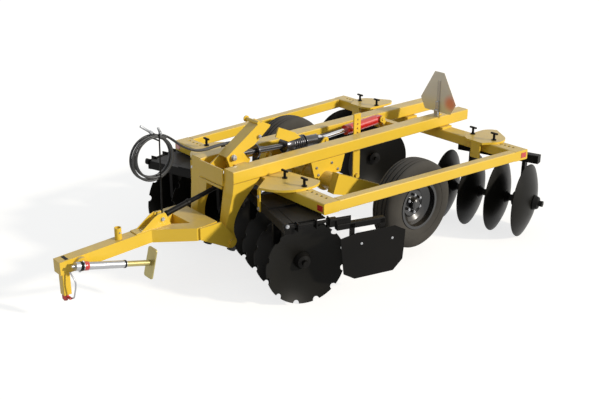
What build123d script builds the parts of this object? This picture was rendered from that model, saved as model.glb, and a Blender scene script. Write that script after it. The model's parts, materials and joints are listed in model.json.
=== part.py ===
from build123d import *
from math import cos, sin, tan, radians, degrees, atan2, hypot, pi, sqrt
import os

os.makedirs("parts", exist_ok=True)

# A towed tandem disc harrow with its wheels up, so that it stands on its sixteen blades.
# +X is its left side, -Y the way it is towed, and Z = 0 the ground under the blades.
# Lengths along Y are measured from a mark near the middle, and each piece is then moved by
# middle_y, so that Y = 0 lies midway between the tongue's front end and the rearmost blade rim.

# Main beams and frame
beam_x = 222          # centre of each main beam
beam_w = 127
beam_h = 102
beam_front = -727
beam_rear = 2060
corner_r = 10         # outside corner radius of the square tubes
frame_top = 817       # top of the cross beams and side rails
frame_h = 89
cross_d = 152         # front to back
front_y = -428        # front face of the front cross beam
rear_y = 1809         # rear face of the rear cross beam
half_front = 1004     # half width of the frame at its front face
half_rear = 1178      # half width of the frame at its rear face
rail_w = 76
plate_t = 19          # gang plates, which also lift the main beams off the frame
lower_plate_t = 12

# Front posts and the tongue's pivot
pivot_y = -745
pivot_z = 350
post_in = 158.5
post_out = 240
pivot_pin_r = 16
pin_gap = 0.1

# Disc gangs
blade_r = 330
blade_t = 6
blade_dish = 84
blade_flat_r = 70
blade_pitch = 254
blades_per_gang = 4
notch_count = 12
notch_r = 27
gang_angle = 17
front_rim = (928, -532)    # rim plane of the outermost front blade
rear_rim = (1178, 1826)    # rim plane of the outermost rear blade
gang_beam = 76
gang_beam_top = frame_top - frame_h - lower_plate_t
gang_beam_offset = 170
shaft_r = 19
spool_r = 30
spool_end_r = 58
bearing_r = 62
bearing_w = 60
bearing_gap = 0.3
standard_w = 30

# Wheels and lift axle
wheel_x = 817
wheel_y = 733
wheel_z = 480
tyre_r = 386
tyre_w = 241
rim_r = 190.5
rim_flange_r = 208
rim_w = 178
lug_circle_r = 76.2
lug_r = 9
hub_r = 52
spindle_r = 30
shaft_y = 240
shaft_z = 655
rockshaft_r = 75
arm_in = 430
arm_out = 505

# Lever, levelling link, crank and turnbuckle, all in the middle plane, as (y, z)
lever_pin = (430, 908)
crank_pivot = (-500, 840)
crank_top = (-563, 965)
crank_foot = (-500, 770)
turnbuckle_pin = (-1234, 610)
cylinder_butt = (1150, 955)
link_pin_r = 12.5
lever_in = 54         # inner face of each lever plate, clear of the link between them
lever_t = 14
mast_out = 57
mast_t = 14
mast_pin_r = 22
crank_in = 20
crank_t = 14
fork_out = 46
fork_t = 12
spring_r = 62
spring_start = 283    # from the link's front eye
spring_coils = 10
spring_pitch = 30
link_rod_r = 20
link_barrel_r = 47.5

# Tongue and jack
tongue_w = 102
tongue_front = (-2108, 505)    # top of the tube at its front end
tongue_rear = (-1340, 548)     # top of the tube where the arms begin
ear_x = 250
ear_t = 16
jack_x = 120
jack_head = (-1992, 470)
jack_slope = 14.5
jack_reach = 600
jack_tube = 384
jack_leg_r = 22
jack_overlap = 114

blade_hub = blade_dish + blade_t
rear_end = rear_rim[1] + blade_r * cos(radians(gang_angle)) + blade_t * sin(radians(gang_angle))
middle_y = (tongue_front[0] + rear_end) / 2
beam_z = frame_top + plate_t + beam_h / 2
beam_under = frame_top + plate_t
beam_top = beam_under + beam_h


def frame_half(y):
    """Half width of the frame, whose rails spread towards the rear."""
    return half_front + (half_rear - half_front) * (y - front_y) / (rear_y - front_y)


def gang_plane(rim, side):
    """Plane of one left gang: x along the axle outwards, y towards the rear, z up."""
    turn = radians(gang_angle) * side
    back = blade_pitch * (blades_per_gang - 1) / 2
    origin = (rim[0] - back * cos(turn), rim[1] - back * sin(turn), blade_r)
    return Plane(origin=origin, x_dir=(cos(turn), sin(turn), 0), z_dir=(0, 0, 1))


front_gang = gang_plane(front_rim, -1)
rear_gang = gang_plane(rear_rim, 1)
# along the axle: rim planes of the blades, counted from the gang's middle
rims = [blade_pitch * (i - (blades_per_gang - 1) / 2) for i in range(blades_per_gang)]


def save(piece, name):
    placed = Pos(0, -middle_y, 0) * piece.part
    placed.label = name
    export_step(placed, f"parts/{name}.step")


def along(a, b, distance):
    """Point on the line from a to b, both (y, z) pairs."""
    length = hypot(b[0] - a[0], b[1] - a[1])
    return (a[0] + (b[0] - a[0]) * distance / length, a[1] + (b[1] - a[1]) * distance / length)


def link_plane(a, b):
    """Plane square to the line from a to b in the middle plane, at a, its x the machine's X."""
    return Plane(origin=(0, a[0], a[1]), x_dir=(1, 0, 0), z_dir=(0, b[0] - a[0], b[1] - a[1]))


# Main beams
with BuildPart() as main_beams:
    with Locations((-beam_x, 0, 0), (beam_x, 0, 0)):
        with Locations((0, (beam_front + beam_rear) / 2, beam_z)):
            Box(beam_w, beam_rear - beam_front, beam_h)
    fillet(main_beams.edges().filter_by(Axis.Y), corner_r)
save(main_beams, "main_beams")

# Cross beams, with the rows of holes that set the gang angle
front_holes = [695 + 55 * i for i in range(5)]
rear_holes = [935 + 44 * i for i in range(4)]
with BuildPart() as front_cross_beam:
    with BuildSketch(Plane.XY.offset(frame_top - frame_h)):
        with BuildLine():
            back = front_y + cross_d
            Polyline(
                (-half_front, front_y), (half_front, front_y),
                (frame_half(back), back), (-frame_half(back), back), close=True,
            )
        make_face()
    extrude(amount=frame_h)
    fillet(front_cross_beam.edges().filter_by(Axis.X), corner_r)
    with BuildSketch(Plane.XY.offset(frame_top)):
        with Locations(*[(side * x, front_y + 98) for side in (-1, 1) for x in front_holes]):
            Circle(13)
    extrude(amount=-12, mode=Mode.SUBTRACT)
save(front_cross_beam, "front_cross_beam")

with BuildPart() as rear_cross_beam:
    with BuildSketch(Plane.XY.offset(frame_top - frame_h)):
        with BuildLine():
            front = rear_y - cross_d
            Polyline(
                (-frame_half(front), front), (frame_half(front), front),
                (half_rear, rear_y), (-half_rear, rear_y), close=True,
            )
        make_face()
    extrude(amount=frame_h)
    fillet(rear_cross_beam.edges().filter_by(Axis.X), corner_r)
    with BuildSketch(Plane.XY.offset(frame_top)):
        with Locations(*[(side * x, rear_y - 66) for side in (-1, 1) for x in rear_holes]):
            Circle(13)
    extrude(amount=-12, mode=Mode.SUBTRACT)
save(rear_cross_beam, "rear_cross_beam")

# Side rails between the cross beams
with BuildPart() as side_rails:
    with BuildSketch(Plane.XY.offset(frame_top - frame_h)):
        with BuildLine():
            y0 = front_y + cross_d
            y1 = rear_y - cross_d
            Polyline(
                (frame_half(y0), y0), (frame_half(y1), y1),
                (frame_half(y1) - rail_w, y1), (frame_half(y0) - rail_w, y0), close=True,
            )
        make_face()
        mirror(about=Plane.YZ)
    extrude(amount=frame_h)
    long_edges = side_rails.edges().filter_by(lambda e: e.length > 1000)
    fillet(long_edges, corner_r)
save(side_rails, "side_rails")

# Gang plates on top of the cross beams, and the saddles under the rear of the main beams
with BuildPart() as gang_plates:
    with BuildSketch(Plane.XY.offset(frame_top)):
        with BuildLine():
            l1 = ThreePointArc((450, -615), (628, -500), (698, -302))
            l2 = ThreePointArc(l1 @ 1, (688, -215), (640, -147))
            Polyline(l2 @ 1, (140, -240), (140, -450), (330, -450), l1 @ 0)
        make_face()
        with BuildLine():
            l3 = Line((601, 1630), (601, 1880))
            l4 = ThreePointArc(l3 @ 1, (625, 1958), (687, 2003))
            l5 = Line(l4 @ 1, (840, 1905))
            l6 = ThreePointArc(l5 @ 1, (926, 1780), (890, 1660))
            Polyline(l6 @ 1, (847, 1588), (680, 1588), l3 @ 0)
        make_face()
        mirror(about=Plane.YZ)
    extrude(amount=plate_t)
    with Locations((-beam_x, rear_y - cross_d / 2, frame_top + plate_t / 2),
                   (beam_x, rear_y - cross_d / 2, frame_top + plate_t / 2)):
        Box(190, 130, plate_t)
save(gang_plates, "gang_plates")

# Lower plates between the frame and the gang beams, hangers and pins with T handles
front_pins = [(420, -325), (658, -325)]
rear_pins = [(622, 1735), (862, 1735)]
beam_face = gang_beam_offset + gang_beam / 2
with BuildPart() as gang_clamps:
    for plane, side in ((front_gang, -1), (rear_gang, 1)):
        with BuildSketch(plane.offset(gang_beam_top - blade_r)):
            with Locations((-15, side * (beam_face - 134))):
                Rectangle(270, 268)
        extrude(amount=lower_plate_t)
    mirror(about=Plane.YZ)
save(gang_clamps, "gang_clamps")

with BuildPart() as angle_pins:
    for x, y in front_pins + rear_pins:
        for side in (-1, 1):
            with Locations((side * x, y, frame_top + plate_t + 4)):
                Cylinder(22, 8)
            with Locations((side * x, y, frame_top + plate_t + 35)):
                Cylinder(11, 56)
            with Locations((side * x, y, frame_top + plate_t + 62)):
                Box(72, 16, 14)
save(angle_pins, "angle_pins")


def make_hangers(plane, at, face, bottom):
    """Strap from a gang plate down the face of the gang beam."""
    with BuildPart() as hanger:
        with BuildSketch(plane.offset(bottom - blade_r)):
            with Locations((at, face)):
                Rectangle(46, 10)
        extrude(amount=frame_top - bottom)
        mirror(about=Plane.YZ)
    return hanger


front_hangers = make_hangers(front_gang, -51, -beam_face - 5, gang_beam_top - gang_beam)
save(front_hangers, "front_hangers")
rear_hangers = make_hangers(rear_gang, -51, beam_face + 5, gang_beam_top - gang_beam)
save(rear_hangers, "rear_hangers")


# Gang beams
def make_gang_beams(plane, offset, inner, outer):
    with BuildPart() as beams:
        with BuildSketch(plane.offset(gang_beam_top - gang_beam - blade_r)):
            with Locations(((inner + outer) / 2, offset)):
                Rectangle(outer - inner, gang_beam)
        extrude(amount=gang_beam)
        upright = beams.edges().filter_by(lambda e: e.length > 500)
        fillet(upright, 8)
        mirror(about=Plane.YZ)
    return beams


front_gang_beams = make_gang_beams(front_gang, -gang_beam_offset, -335, 430)
save(front_gang_beams, "front_gang_beams")
rear_gang_beams = make_gang_beams(rear_gang, gang_beam_offset, -335, 430)
save(rear_gang_beams, "rear_gang_beams")


# Bearing standards: curved arms from a gang beam down to the bearings on its axle
def make_standards(plane, offset, places):
    side = 1 if offset > 0 else -1
    profile = Plane(origin=plane.origin, x_dir=plane.y_dir, z_dir=plane.x_dir)
    top = gang_beam_top - gang_beam - blade_r
    with BuildPart() as standards:
        for place in places:
            with BuildSketch(profile.offset(place - standard_w / 2)):
                with BuildLine():
                    Polyline(
                        (side * 205, top), (side * 205, 95), (side * 130, -30),
                        (0, -45), (0, 45), (side * 95, 60), (side * 140, 130), (side * 140, top),
                        close=True,
                    )
                make_face()
                Circle(bearing_r)
                Circle(spool_r + bearing_gap, mode=Mode.SUBTRACT)
            extrude(amount=standard_w)
        mirror(about=Plane.YZ)
    return standards


front_standards_at = [-299, 209]
rear_standards_at = [-209, 299]
front_standards = make_standards(front_gang, -gang_beam_offset, front_standards_at)
save(front_standards, "front_standards")
rear_standards = make_standards(rear_gang, gang_beam_offset, rear_standards_at)
save(rear_standards, "rear_standards")


# Blades: dished discs, the front ones notched. The dish opens outwards at the front, inwards behind
def make_blades(plane, dish, notched):
    radius = (blade_r ** 2 + blade_dish ** 2) / (2 * blade_dish)
    mid_r = 210
    mid = radius - sqrt(radius ** 2 - mid_r ** 2)
    section = Plane(origin=plane.origin, x_dir=plane.x_dir, z_dir=-plane.y_dir)
    with BuildPart() as blades:
        for rim in rims:
            hub = rim - dish * blade_hub
            with BuildSketch(section):
                with BuildLine():
                    back = ThreePointArc(
                        (hub, blade_flat_r), (hub + dish * mid, mid_r), (rim - dish * blade_t, blade_r))
                    front = ThreePointArc(
                        (rim, blade_r - 3), (hub + dish * (mid + blade_t), mid_r - 2),
                        (hub + dish * blade_t, blade_flat_r))
                    Line(back @ 1, front @ 0)
                    Polyline(front @ 1, (hub + dish * blade_t, shaft_r + 0.3),
                             (hub, shaft_r + 0.3), back @ 0)
                make_face()
            revolve(axis=Axis(plane.origin, plane.x_dir))
        if notched:
            across = Plane(origin=plane.origin, x_dir=plane.y_dir, z_dir=plane.x_dir)
            with BuildSketch(across):
                with PolarLocations(blade_r, notch_count, start_angle=180 / notch_count):
                    Circle(notch_r)
            extrude(amount=500, both=True, mode=Mode.SUBTRACT)
    return blades


# Axle of a gang: a shaft with spools that space the blades, and a bolt and washer at each end
def make_axle(plane, dish):
    section = Plane(origin=plane.origin, x_dir=plane.x_dir, z_dir=-plane.y_dir)
    hubs = sorted(rim - dish * blade_hub for rim in rims)
    low, high = (0, blade_t) if dish > 0 else (-blade_t, 0)
    with BuildPart() as axle:
        with BuildSketch(section):
            with BuildLine():
                points = [(hubs[0] + low - 70, 0), (hubs[0] + low - 70, 22),
                          (hubs[0] + low - 40, 22), (hubs[0] + low - 30, spool_end_r),
                          (hubs[0] + low, spool_end_r), (hubs[0] + low, shaft_r)]
                for a, b in zip(hubs, hubs[1:]):
                    points += [(a + high, shaft_r), (a + high, spool_end_r),
                               (a + high + 34, spool_r), (b + low - 34, spool_r),
                               (b + low, spool_end_r), (b + low, shaft_r)]
                end = hubs[-1] + high
                points += [(end, shaft_r), (end, 66), (end + 10, 68), (end + 44, 52),
                           (end + 52, 26), (end + 84, 26), (end + 84, 0)]
                Polyline(*points, close=True)
            make_face()
        revolve(axis=Axis(plane.origin, plane.x_dir))
    return axle


def save_gang(plane, dish, notched, name):
    blades = make_blades(plane, dish, notched)
    save(blades, f"{name}_left_blades")
    axle = make_axle(plane, dish)
    save(axle, f"{name}_left_axle")
    with BuildPart() as right_blades:
        mirror(blades.part, about=Plane.YZ)
    save(right_blades, f"{name}_right_blades")
    with BuildPart() as right_axle:
        mirror(axle.part, about=Plane.YZ)
    save(right_axle, f"{name}_right_axle")


save_gang(front_gang, 1, True, "front")
save_gang(rear_gang, -1, False, "rear")

# End bars and soil deflectors beside the outer front blades
deflector_a = blade_pitch * 1.5 + 75
with BuildPart() as deflector_bars:
    bar = Plane(origin=front_gang.from_local_coords((deflector_a, 0, 0)),
                x_dir=front_gang.x_dir, z_dir=front_gang.y_dir)
    bar_z = 364
    with BuildSketch(bar.offset(-beam_face)):
        with Locations((0, -bar_z)):
            Circle(24)
    extrude(amount=2 * beam_face + 400)
    with BuildSketch(front_gang.offset(gang_beam_top - gang_beam - blade_r)):
        with Locations((445, -gang_beam_offset)):
            Rectangle(30, gang_beam)
    extrude(amount=gang_beam - 6)
    mirror(about=Plane.YZ)
save(deflector_bars, "deflector_bars")

with BuildPart() as deflectors:
    face = Plane(origin=front_gang.from_local_coords((deflector_a + 25, 0, 0)),
                 x_dir=front_gang.y_dir, z_dir=front_gang.x_dir)
    with BuildSketch(face):
        with BuildLine():
            Polyline((110, 175), (480, 120), (560, 100), (590, 70), (570, -110), (470, -200),
                     (150, -170), close=True)
        make_face()
    extrude(amount=6)
    with BuildSketch(face):
        with Locations((200, 255), (470, 255)):
            Rectangle(40, 270)
    extrude(amount=6)
    mirror(about=Plane.YZ)
save(deflectors, "deflectors")

# Front posts: box legs under the main beams, a panel between them and the tongue's pivot pins
with BuildPart() as front_posts:
    with BuildSketch(Plane.YZ.offset(post_in)):
        with BuildLine():
            edge = Polyline((-470, beam_under), (beam_front, beam_under), (-800, 372))
            foot = ThreePointArc(edge @ 1, (pivot_y, 292), (-690, 372))
            Spline(foot @ 1, (-700, 520), (-620, 680), edge @ 0)
        make_face()
    extrude(amount=beam_w)
    with BuildSketch(Plane.XZ.offset(300)):
        with BuildLine():
            Polyline((post_in, beam_under), (post_in + beam_w, beam_under), (post_in + beam_w, 755),
                     (post_out, 420), (post_out, 250), (post_in, 250), close=True)
        make_face()
    extrude(amount=700, mode=Mode.INTERSECT)
    with BuildSketch(Plane.YZ.offset(post_out)):
        with Locations((pivot_y, pivot_z)):
            Circle(pivot_pin_r)
    extrude(amount=ear_x + ear_t + 14 - post_out)
    with BuildSketch(Plane.YZ.offset(ear_x + ear_t + 4)):
        with Locations((pivot_y, pivot_z)):
            Circle(28)
    extrude(amount=12)
    mirror(about=Plane.YZ)
    with Locations((0, -738, 860)):
        Box(2 * post_in, 12, 140)
save(front_posts, "front_posts")

# Brackets under the main beams that carry the lift axle
with BuildPart() as axle_brackets:
    with BuildSketch(Plane.YZ.offset(beam_x + beam_w / 2 - 25)):
        with BuildLine():
            Polyline((70, beam_under), (450, beam_under), (405, 690), (110, 690), close=True)
        make_face()
        with Locations((shaft_y, shaft_z)):
            Circle(rockshaft_r + 22)
            Circle(rockshaft_r + bearing_gap, mode=Mode.SUBTRACT)
    extrude(amount=25)
    mirror(about=Plane.YZ)
save(axle_brackets, "axle_brackets")

# Lift axle: the rockshaft, its two arms with spindles and the lever in the middle
arm_angle = atan2(wheel_z - shaft_z, wheel_y - shaft_y)
arm_dir = (cos(arm_angle), sin(arm_angle))
arm_up = (-arm_dir[1], arm_dir[0])


def arm_point(distance, height):
    return (shaft_y + arm_dir[0] * distance + arm_up[0] * height,
            shaft_z + arm_dir[1] * distance + arm_up[1] * height)


arm_length = hypot(wheel_y - shaft_y, wheel_z - shaft_z)
hub_in = wheel_x - 75
with BuildPart() as lift_axle:
    with BuildSketch(Plane.YZ.offset(-arm_in - 10)):
        with Locations((shaft_y, shaft_z)):
            Circle(rockshaft_r)
    extrude(amount=2 * arm_in + 20)
    with BuildSketch(Plane.YZ.offset(arm_in)):
        with BuildLine():
            Polyline(arm_point(-95, -80), arm_point(-95, 95), arm_point(arm_length - 40, 55),
                     arm_point(arm_length + 50, 45), arm_point(arm_length + 50, -50),
                     arm_point(arm_length - 60, -60), close=True)
        make_face()
    extrude(amount=arm_out - arm_in)
    with BuildSketch(Plane.YZ.offset(arm_out)):
        with Locations((wheel_y, wheel_z)):
            Circle(44)
    extrude(amount=hub_in - 12 - arm_out)
    with BuildSketch(Plane.YZ.offset(hub_in - 12)):
        with Locations((wheel_y, wheel_z)):
            Circle(spindle_r)
    extrude(amount=100)
    mirror(about=Plane.YZ)
    for x in (-lever_in - lever_t, lever_in):
        with BuildSketch(Plane.YZ.offset(x)):
            with Locations((shaft_y, shaft_z)):
                Circle(rockshaft_r + 12)
            with Locations(lever_pin):
                Circle(30)
            make_hull()
        extrude(amount=lever_t)
    pin_end = fork_out - fork_t
    for x in (-lever_in - lever_t - 10, pin_end):
        with BuildSketch(Plane.YZ.offset(x)):
            with Locations(lever_pin):
                Circle(link_pin_r)
        extrude(amount=lever_in + lever_t + 10 - pin_end)
save(lift_axle, "lift_axle")

# Wheels
tyre_half = tyre_w / 2
bead = rim_w / 2


def make_tyre():
    with BuildPart() as tyre:
        with BuildSketch(Plane.XY.offset(wheel_z)):
            with BuildLine():
                tread = ThreePointArc((wheel_x - 88, wheel_y + tyre_r - 8), (wheel_x, wheel_y + tyre_r),
                                      (wheel_x + 88, wheel_y + tyre_r - 8))
                right = ThreePointArc(tread @ 1, (wheel_x + tyre_half, wheel_y + 300),
                                      (wheel_x + bead, wheel_y + rim_flange_r + 8))
                left = ThreePointArc(tread @ 0, (wheel_x - tyre_half, wheel_y + 300),
                                     (wheel_x - bead, wheel_y + rim_flange_r + 8))
                Polyline(left @ 1, (wheel_x - bead, wheel_y + rim_r), (wheel_x + bead, wheel_y + rim_r),
                         right @ 1)
            make_face()
        revolve(axis=Axis((0, wheel_y, wheel_z), (1, 0, 0)))
    return tyre


def make_wheel():
    inner = wheel_x - rim_w / 2 - 3
    outer = wheel_x + rim_w / 2 + 3
    with BuildPart() as wheel:
        with BuildSketch(Plane.XY.offset(wheel_z)):
            with BuildLine():
                Polyline(
                    (inner - 6, wheel_y + rim_flange_r), (inner, wheel_y + rim_flange_r),
                    (inner, wheel_y + rim_r), (inner + 50, wheel_y + rim_r),
                    (inner + 70, wheel_y + rim_r - 20), (outer - 70, wheel_y + rim_r - 20),
                    (outer - 50, wheel_y + rim_r), (outer, wheel_y + rim_r),
                    (outer, wheel_y + rim_flange_r), (outer + 6, wheel_y + rim_flange_r),
                    (outer + 6, wheel_y + rim_r - 6), (outer - 48, wheel_y + rim_r - 6),
                    (outer - 68, wheel_y + rim_r - 28), (outer - 90, wheel_y + 130),
                    (outer - 72, wheel_y + 112), (outer - 72, wheel_y + hub_r),
                    (outer - 30, wheel_y + hub_r - 6), (outer - 22, wheel_y + 30),
                    (outer - 22, wheel_y), (hub_in + 92, wheel_y),
                    (hub_in + 92, wheel_y + spindle_r + 0.3), (hub_in, wheel_y + spindle_r + 0.3),
                    (hub_in, wheel_y + 70), (outer - 82, wheel_y + 78), (outer - 82, wheel_y + 108),
                    (outer - 102, wheel_y + 128), (outer - 80, wheel_y + rim_r - 28),
                    (inner + 66, wheel_y + rim_r - 28), (inner + 46, wheel_y + rim_r - 6),
                    (inner - 6, wheel_y + rim_r - 6), close=True)
            make_face()
        revolve(axis=Axis((0, wheel_y, wheel_z), (1, 0, 0)))
        with BuildSketch(Plane(origin=(outer - 72, wheel_y, wheel_z), x_dir=(0, 1, 0), z_dir=(1, 0, 0))):
            with PolarLocations(lug_circle_r, 6, start_angle=30):
                RegularPolygon(lug_r + 3, 6)
        extrude(amount=16)
    return wheel


left_tyre = make_tyre()
save(left_tyre, "left_tyre")
left_wheel = make_wheel()
save(left_wheel, "left_wheel")
with BuildPart() as right_tyre:
    mirror(left_tyre.part, about=Plane.YZ)
save(right_tyre, "right_tyre")
with BuildPart() as right_wheel:
    mirror(left_wheel.part, about=Plane.YZ)
save(right_wheel, "right_wheel")

# Lift cylinder, laid from its anchor behind to the lever in front
cylinder_r = 45
rod_r = 19
barrel_start = 62
barrel_end = 434
rod_in = 110
stroke = 105
rod_line = link_plane(cylinder_butt, lever_pin)
rod_length = hypot(lever_pin[0] - cylinder_butt[0], lever_pin[1] - cylinder_butt[1])
with BuildPart() as cylinder_barrel:
    with BuildSketch(rod_line.offset(barrel_start)):
        Circle(cylinder_r)
    extrude(amount=barrel_end - barrel_start)
    with BuildSketch(Plane.YZ.offset(-22)):
        with BuildLine():
            y, z = along(cylinder_butt, lever_pin, barrel_start + 2)
            Polyline((cylinder_butt[0], cylinder_butt[1] + 30), (y, z + 30), (y, z - 30),
                     (cylinder_butt[0], cylinder_butt[1] - 30), close=True)
        make_face()
        with Locations(cylinder_butt):
            Circle(30)
    extrude(amount=44)
    with BuildSketch(Plane.YZ.offset(-22)):
        with Locations(cylinder_butt):
            Circle(link_pin_r + pin_gap)
    extrude(amount=44, mode=Mode.SUBTRACT)
    with BuildSketch(rod_line.offset(barrel_end - rod_in - stroke)):
        Circle(rod_r + bearing_gap)
    extrude(amount=rod_in + stroke, mode=Mode.SUBTRACT)
save(cylinder_barrel, "cylinder_barrel")

with BuildPart() as cylinder_rod:
    with BuildSketch(rod_line.offset(barrel_end - rod_in)):
        Circle(rod_r)
    extrude(amount=rod_length - barrel_end + rod_in)
    with BuildSketch(Plane.YZ.offset(-24)):
        with Locations(lever_pin):
            Circle(26)
    extrude(amount=48)
save(cylinder_rod, "cylinder_rod")

# Anchor of the cylinder: a tube across the beams with two lugs and the butt pin
anchor_y = 1225
with BuildPart() as cylinder_anchor:
    with Locations((0, anchor_y, beam_z)):
        Box(2 * post_in, 60, 80)
    for x in (-42, 28):
        with BuildSketch(Plane.YZ.offset(x)):
            with BuildLine():
                Polyline((cylinder_butt[0], cylinder_butt[1] + 30), (anchor_y - 30, 925), (anchor_y - 30, 850),
                         (cylinder_butt[0], cylinder_butt[1] - 30), close=True)
            make_face()
            with Locations(cylinder_butt):
                Circle(30)
        extrude(amount=14)
    with BuildSketch(Plane.YZ.offset(-50)):
        with Locations(cylinder_butt):
            Circle(link_pin_r)
    extrude(amount=100)
save(cylinder_anchor, "cylinder_anchor")

# Bar with a row of holes beside the cylinder
with BuildPart() as stop_bar:
    with BuildSketch(Plane.YZ.offset(100)):
        with BuildLine():
            Polyline((720, 490), (720, 1095), (800, 1095), (800, 490), close=True)
        make_face()
        with Locations(*[(762, 1040 - 40 * i) for i in range(4)]):
            Circle(9, mode=Mode.SUBTRACT)
    extrude(amount=12)
    with Locations(((post_in + 112) / 2, 760, 880)):
        Box(post_in - 112, 80, 60)
    with Locations((122, 762, 520)):
        Cylinder(22, 20, rotation=(0, 90, 0))
save(stop_bar, "stop_bar")

# Mast between the main beams: two plates and a front web, the crank's pin through its foot
mast_front = (-624, 978)
mast_tip = (-300, 1192)
with BuildPart() as mast:
    for x in (-mast_out, mast_out - mast_t):
        with BuildSketch(Plane.YZ.offset(x)):
            with BuildLine():
                Polyline(mast_front, mast_tip, (-258, 1206), (-176, 1163), (-184, 1148), (-345, 1024),
                         (-455, 985), (-394, 897), (-440, 795), (-560, 795), close=True)
            make_face()
        extrude(amount=mast_t)
    with BuildSketch(Plane.YZ.offset(-mast_out)):
        with BuildLine():
            Polyline(mast_front, mast_tip, (mast_tip[0] + 8, mast_tip[1] - 9), (mast_front[0] + 8, mast_front[1] - 9),
                     close=True)
        make_face()
    extrude(amount=2 * mast_out)
    with BuildSketch(Plane.YZ.offset(-mast_out)):
        with BuildLine():
            Polyline((-724, 910), (-600, 985), (-560, 860), (-643, 854), close=True)
        make_face()
    extrude(amount=mast_t)
    for x in (-post_in, mast_out):
        with Locations((x + (post_in - mast_out) / 2, -500, 878)):
            Box(post_in - mast_out, 110, 54)
    with BuildSketch(Plane.YZ.offset(-mast_out - 58)):
        with Locations((mast_tip[0] + 4, mast_tip[1] + 8)):
            Circle(15)
    extrude(amount=2 * mast_out + 58)
    with BuildSketch(Plane.YZ.offset(-mast_out - 58)):
        with Locations((mast_tip[0] + 4, mast_tip[1] + 8)):
            Circle(26)
    extrude(amount=10)
    with BuildSketch(Plane.YZ.offset(-mast_out)):
        with Locations(crank_pivot):
            Circle(mast_pin_r)
    extrude(amount=2 * mast_out)
    with BuildSketch(Plane.YZ.offset(mast_out)):
        with Locations(crank_top):
            Circle(24)
        with Locations((-298, 1090)):
            Circle(13)
    extrude(amount=13)
save(mast, "mast")

# Levelling crank: two plates and a hub that turn on the mast's pin
with BuildPart() as crank:
    for x in (-crank_in - crank_t, crank_in):
        with BuildSketch(Plane.YZ.offset(x)):
            with Locations(crank_pivot):
                Circle(46)
            with Locations(crank_top):
                Circle(24)
            with Locations(crank_foot):
                Circle(28)
            make_hull()
        extrude(amount=crank_t)
    with BuildSketch(Plane.YZ.offset(-crank_in)):
        with Locations(crank_pivot):
            Circle(34)
    extrude(amount=2 * crank_in)
    with BuildSketch(Plane.YZ.offset(-crank_in - crank_t)):
        with Locations(crank_pivot):
            Circle(mast_pin_r + pin_gap)
    extrude(amount=2 * (crank_in + crank_t), mode=Mode.SUBTRACT)
save(crank, "levelling_crank")

# Levelling link from the crank to the lever: eye, rod, collars, spring barrel and fork
link_line = link_plane(crank_top, lever_pin)
link_length = hypot(lever_pin[0] - crank_top[0], lever_pin[1] - crank_top[1])
spring_end = spring_start + spring_coils * spring_pitch
fork_start = link_length - 62
steps = [
    (60, 11), (spring_start - 14, link_rod_r), (spring_start, spring_r - 4),
    (spring_end, link_rod_r), (spring_end + 14, spring_r - 4), (spring_end + 66, 38),
    (spring_end + 80, 50), (fork_start, link_barrel_r),
]   # each stretch of the link: how far it reaches from the front eye, and its radius
with BuildPart() as levelling_link:
    with BuildSketch(Plane(origin=link_line.origin, x_dir=link_line.z_dir, z_dir=link_line.x_dir)):
        with BuildLine():
            outline = [(0, 0), (0, steps[0][1])]
            for (end, radius), (_, following) in zip(steps, steps[1:]):
                outline += [(end, radius), (end, following)]
            outline += [(fork_start, link_barrel_r), (fork_start, 0)]
            Polyline(*outline, close=True)
        make_face()
    revolve(axis=Axis(link_line.origin, link_line.z_dir))
    with BuildSketch(Plane.YZ.offset(-14)):
        with Locations(crank_top):
            Circle(24)
    extrude(amount=28)
    for x in (-fork_out, fork_out - fork_t):
        with BuildSketch(Plane.YZ.offset(x)):
            with BuildLine():
                y0, z0 = along(crank_top, lever_pin, fork_start - 10)
                y1, z1 = lever_pin
                Polyline((y0, z0 + 25), (y1, z1 + 25), (y1, z1 - 25), (y0, z0 - 25), close=True)
            make_face()
            with Locations(lever_pin):
                Circle(25)
        extrude(amount=fork_t)
    with BuildSketch(Plane.YZ.offset(-fork_out)):
        with Locations(lever_pin):
            Circle(link_pin_r + pin_gap)
    extrude(amount=2 * fork_out, mode=Mode.SUBTRACT)
save(levelling_link, "levelling_link")

# Spring around the link's rod, its coils lying against each other
with BuildPart() as levelling_spring:
    with BuildSketch(Plane(origin=link_line.origin, x_dir=link_line.z_dir, z_dir=link_line.x_dir)):
        with BuildLine():
            groove = spring_r - 8
            for i in range(spring_coils):
                x = spring_start + i * spring_pitch
                ThreePointArc((x, groove), (x + spring_pitch / 2, spring_r), (x + spring_pitch, groove))
            Polyline((spring_end, groove), (spring_end, link_rod_r + bearing_gap),
                     (spring_start, link_rod_r + bearing_gap), (spring_start, groove))
        make_face()
    revolve(axis=Axis(link_line.origin, link_line.z_dir))
save(levelling_spring, "levelling_spring")

# Turnbuckle from the tongue to the crank's foot
turn_line = link_plane(turnbuckle_pin, crank_foot)
turn_length = hypot(crank_foot[0] - turnbuckle_pin[0], crank_foot[1] - turnbuckle_pin[1])
with BuildPart() as turnbuckle:
    with BuildSketch(turn_line.offset(20)):
        Circle(12.5)
    extrude(amount=turn_length - 40)
    with BuildSketch(turn_line.offset(70)):
        Circle(22)
    extrude(amount=190)
    with BuildSketch(turn_line.offset(260)):
        Circle(27)
    extrude(amount=24)
    with BuildSketch(Plane.YZ.offset(-12)):
        with Locations(turnbuckle_pin):
            Circle(30)
        with Locations(crank_foot):
            Circle(26)
    extrude(amount=24)
    with BuildSketch(Plane.YZ.offset(-12)):
        with Locations(turnbuckle_pin):
            Circle(link_pin_r + pin_gap)
    extrude(amount=24, mode=Mode.SUBTRACT)
save(turnbuckle, "turnbuckle")

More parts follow.
